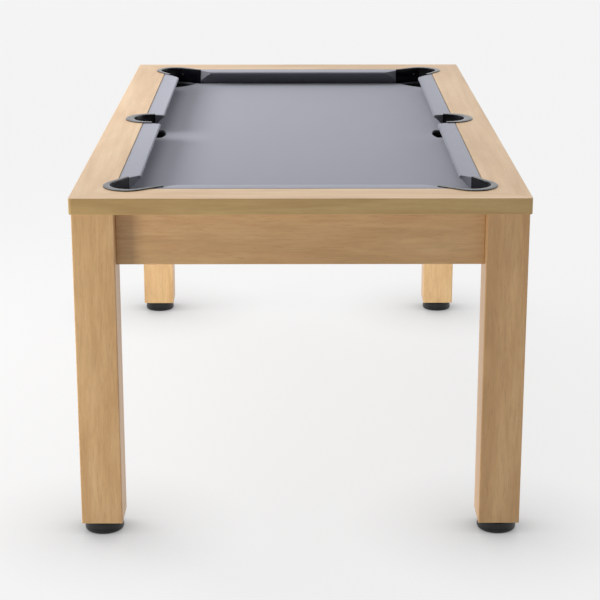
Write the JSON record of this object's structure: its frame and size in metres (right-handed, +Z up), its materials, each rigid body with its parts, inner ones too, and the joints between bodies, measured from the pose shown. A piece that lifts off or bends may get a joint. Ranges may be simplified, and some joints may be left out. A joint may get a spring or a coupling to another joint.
{
  "type": "pool table",
  "caption": "Rectangular wooden pool table with cloth bed and cushions, drop pockets with plastic liners, square legs and screw-in levelling feet.",
  "frame": {"origin": "on the floor under the middle of the table", "axes": "+X across the table, +Y along it towards the far end from the viewer, +Z up"},
  "size_m": [1.016, 1.78, 0.803],
  "materials": {
    "wood": "light maple-look veneer, satin lacquer",
    "board": "raw fibreboard, unfinished",
    "cushion_cloth": "grey woven billiard cloth over rubber",
    "bed_cloth": "grey woven billiard cloth, stretched flat",
    "pocket_plastic": "black moulded plastic, satin rim",
    "foot_rubber": "black hard plastic, satin",
    "steel": "zinc-plated"
  },
  "bodies": {
    "table": {"rail_front": "wood", "rail_right": "wood", "rail_back": "wood", "rail_left": "wood", "apron_front": "wood", "apron_right": "wood", "apron_back": "wood", "apron_left": "wood", "leg_front_left": "wood", "leg_front_right": "wood", "leg_back_right": "wood", "leg_back_left": "wood", "bed_slab": "board", "joist_1": "board", "joist_2": "board", "joist_3": "board", "joist_4": "board", "cushion_front": "cushion_cloth", "cushion_back": "cushion_cloth", "cushion_left_front": "cushion_cloth", "cushion_left_back": "cushion_cloth", "cushion_right_front": "cushion_cloth", "cushion_right_back": "cushion_cloth", "bed_cloth": "bed_cloth", "pocket_liner_front_left": "pocket_plastic", "pocket_liner_front_right": "pocket_plastic", "pocket_liner_back_right": "pocket_plastic", "pocket_liner_back_left": "pocket_plastic", "pocket_liner_side_left": "pocket_plastic", "pocket_liner_side_right": "pocket_plastic", "pocket_bucket_front_left": "pocket_plastic", "pocket_bucket_front_right": "pocket_plastic", "pocket_bucket_back_right": "pocket_plastic", "pocket_bucket_back_left": "pocket_plastic", "pocket_bucket_side_left": "pocket_plastic", "pocket_bucket_side_right": "pocket_plastic", "leg_bracket_front_left": "steel", "leg_bolt_front_left": "steel", "threaded_insert_front_left": "steel", "leg_bracket_front_right": "steel", "leg_bolt_front_right": "steel", "threaded_insert_front_right": "steel", "leg_bracket_back_right": "steel", "leg_bolt_back_right": "steel", "threaded_insert_back_right": "steel", "leg_bracket_back_left": "steel", "leg_bolt_back_left": "steel", "threaded_insert_back_left": "steel"},
    "foot_front_left": {"foot_pad_front_left": "foot_rubber"},
    "screw_front_left": {"leveller_stem_front_left": "steel"},
    "foot_front_right": {"foot_pad_front_right": "foot_rubber"},
    "screw_front_right": {"leveller_stem_front_right": "steel"},
    "foot_back_right": {"foot_pad_back_right": "foot_rubber"},
    "screw_back_right": {"leveller_stem_back_right": "steel"},
    "foot_back_left": {"foot_pad_back_left": "foot_rubber"},
    "screw_back_left": {"leveller_stem_back_left": "steel"}
  },
  "joints": [
    {"name": "foot_front_left_height", "type": "slide", "parent": "table", "child": "foot_front_left", "axis": [0, 0, -1], "range_m": [0, 0.014]},
    {"name": "screw_front_left_turn", "type": "hinge", "parent": "foot_front_left", "child": "screw_front_left", "pos_m": [-0.456, -0.838, 0.06], "axis": [0, 0, -1], "range_deg": [0, 2880]},
    {"name": "foot_front_right_height", "type": "slide", "parent": "table", "child": "foot_front_right", "axis": [0, 0, -1], "range_m": [0, 0.014]},
    {"name": "screw_front_right_turn", "type": "hinge", "parent": "foot_front_right", "child": "screw_front_right", "pos_m": [0.456, -0.838, 0.06], "axis": [0, 0, -1], "range_deg": [0, 2880]},
    {"name": "foot_back_right_height", "type": "slide", "parent": "table", "child": "foot_back_right", "axis": [0, 0, -1], "range_m": [0, 0.014]},
    {"name": "screw_back_right_turn", "type": "hinge", "parent": "foot_back_right", "child": "screw_back_right", "pos_m": [0.456, 0.838, 0.06], "axis": [0, 0, -1], "range_deg": [0, 2880]},
    {"name": "foot_back_left_height", "type": "slide", "parent": "table", "child": "foot_back_left", "axis": [0, 0, -1], "range_m": [0, 0.014]},
    {"name": "screw_back_left_turn", "type": "hinge", "parent": "foot_back_left", "child": "screw_back_left", "pos_m": [-0.456, 0.838, 0.06], "axis": [0, 0, -1], "range_deg": [0, 2880]}
  ],
  "couplings": [
    {"joint": "screw_front_left_turn", "follows": "foot_front_left_height", "rad_per_m": 3590.4},
    {"joint": "screw_front_right_turn", "follows": "foot_front_right_height", "rad_per_m": 3590.4},
    {"joint": "screw_back_right_turn", "follows": "foot_back_right_height", "rad_per_m": 3590.4},
    {"joint": "screw_back_left_turn", "follows": "foot_back_left_height", "rad_per_m": 3590.4}
  ]
}
